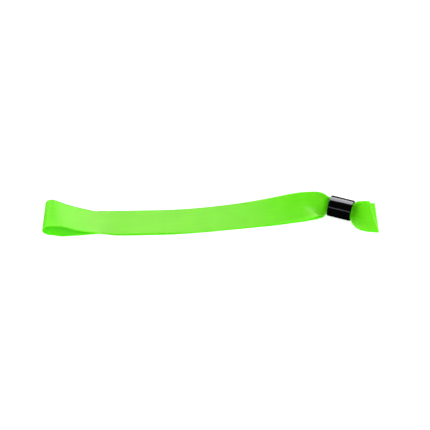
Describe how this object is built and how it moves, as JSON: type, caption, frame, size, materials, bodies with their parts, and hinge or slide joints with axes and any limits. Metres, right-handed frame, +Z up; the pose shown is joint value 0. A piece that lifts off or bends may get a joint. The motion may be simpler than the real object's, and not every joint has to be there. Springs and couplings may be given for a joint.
{
  "type": "ribbon wristband",
  "caption": "Satin ribbon folded into a wrist loop, its two ends gathered in a black barrel that slides along the ribbon to close the loop.",
  "frame": {"origin": "on the table, under the middle of the stretch of ribbon that lies flat", "axes": "+X along the band from the wrist loop's fold towards the lock, +Y away from the side the open loop shows, +Z up"},
  "size_m": [0.17, 0.0227, 0.0109],
  "materials": {
    "ribbon_satin": "lime green polyester satin ribbon with a soft sheen and woven edges",
    "lock_plastic": "glossy black injection moulding"
  },
  "bodies": {
    "band": {"ribbon": "ribbon_satin"},
    "lock": {"lock_barrel": "lock_plastic"},
    "tongue": {"lock_tongue": "lock_plastic"}
  },
  "joints": [
    {"name": "lock_slide", "type": "slide", "parent": "band", "child": "lock", "axis": [-0.9988, -0.048, 0], "range_m": [0, 0.065], "deforming": ["ribbon"]},
    {"name": "tongue_flex", "type": "hinge", "parent": "lock", "child": "tongue", "pos_m": [0.0988, 0.00376, 0.00896], "axis": [-0.2402, -0.7617, -0.6018], "range_deg": [0, 10], "stiffness_Nm_per_rad": 0.004, "springref_deg": -2.86}
  ]
}
